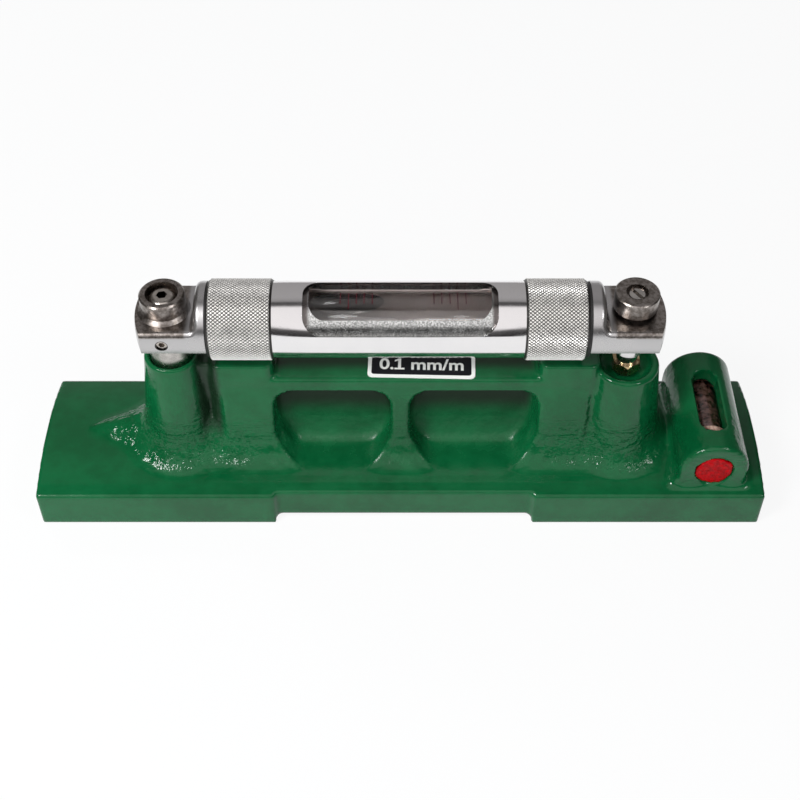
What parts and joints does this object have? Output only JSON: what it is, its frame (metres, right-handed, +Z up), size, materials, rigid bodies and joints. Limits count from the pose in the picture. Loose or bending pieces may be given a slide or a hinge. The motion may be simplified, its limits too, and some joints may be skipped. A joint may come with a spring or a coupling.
{
  "type": "precision bench level",
  "caption": "Cast bench level with a vee-grooved sole, a chromed vial tube with a turning windowed cover, a levelling stud and a small cross vial.",
  "frame": {"origin": "centre of the sole, in the plane of the end pads", "axes": "+X along the base towards the cross vial, +Y to the back, +Z up"},
  "size_m": [0.2, 0.044, 0.0685],
  "materials": {
    "green_paint": "glossy green enamel on a cast surface",
    "label": "black plate with a white border",
    "bright_steel": "turned and polished",
    "dark_steel": "blackened",
    "chrome": "polished chrome plate",
    "brass": "turned brass",
    "black_rubber": "matte",
    "glass": "clear ground glass",
    "clear_spirit": "clear liquid",
    "amber_spirit": "reddish brown liquid",
    "plaster": "rough plaster",
    "red_wax": "red lacquer"
  },
  "bodies": {
    "base": {"base_casting": "green_paint", "label_plate": "label", "pivot_post": "bright_steel", "clamp_screw": "bright_steel", "adjusting_stud": "bright_steel", "cross_vial_glass": "glass", "cross_vial_spirit": "amber_spirit", "cross_vial_front_bedding": "plaster", "cross_vial_rear_bedding": "plaster", "cross_vial_front_plug": "red_wax", "cross_vial_rear_plug": "red_wax"},
    "vial_tube": {"left_end_fitting": "chrome", "right_end_fitting": "chrome", "front_set_screw": "dark_steel", "rear_set_screw": "dark_steel", "carrier_tube": "chrome", "left_friction_ring": "black_rubber", "right_friction_ring": "black_rubber", "main_vial_glass": "glass", "main_vial_spirit": "clear_spirit", "left_vial_bedding": "plaster", "right_vial_bedding": "plaster"},
    "cover": {"cover_sleeve": "chrome"},
    "lower_nut": {"lower_hex_nut": "brass", "lower_bush": "chrome"},
    "upper_nut": {"upper_washer": "chrome", "upper_round_nut": "chrome"}
  },
  "joints": [
    {"name": "vial_tilt", "type": "hinge", "parent": "base", "child": "vial_tube", "pos_m": [-0.0609, 0, 0.0579], "axis": [0, -1, 0], "range_deg": [-0.5, 0.5]},
    {"name": "cover_turn", "type": "hinge", "parent": "vial_tube", "child": "cover", "pos_m": [0, 0, 0.0579], "axis": [1, 0, 0], "continuous": true},
    {"name": "lower_nut_travel", "type": "slide", "parent": "base", "child": "lower_nut", "axis": [0, 0, 1], "range_m": [-0.00108, 0.00108]},
    {"name": "upper_nut_travel", "type": "slide", "parent": "base", "child": "upper_nut", "axis": [0, 0, 1], "range_m": [-0.00108, 0.00108]}
  ],
  "couplings": [
    {"joint": "lower_nut_travel", "follows": "vial_tilt", "m_per_rad": 0.1213},
    {"joint": "upper_nut_travel", "follows": "vial_tilt", "m_per_rad": 0.1213}
  ]
}
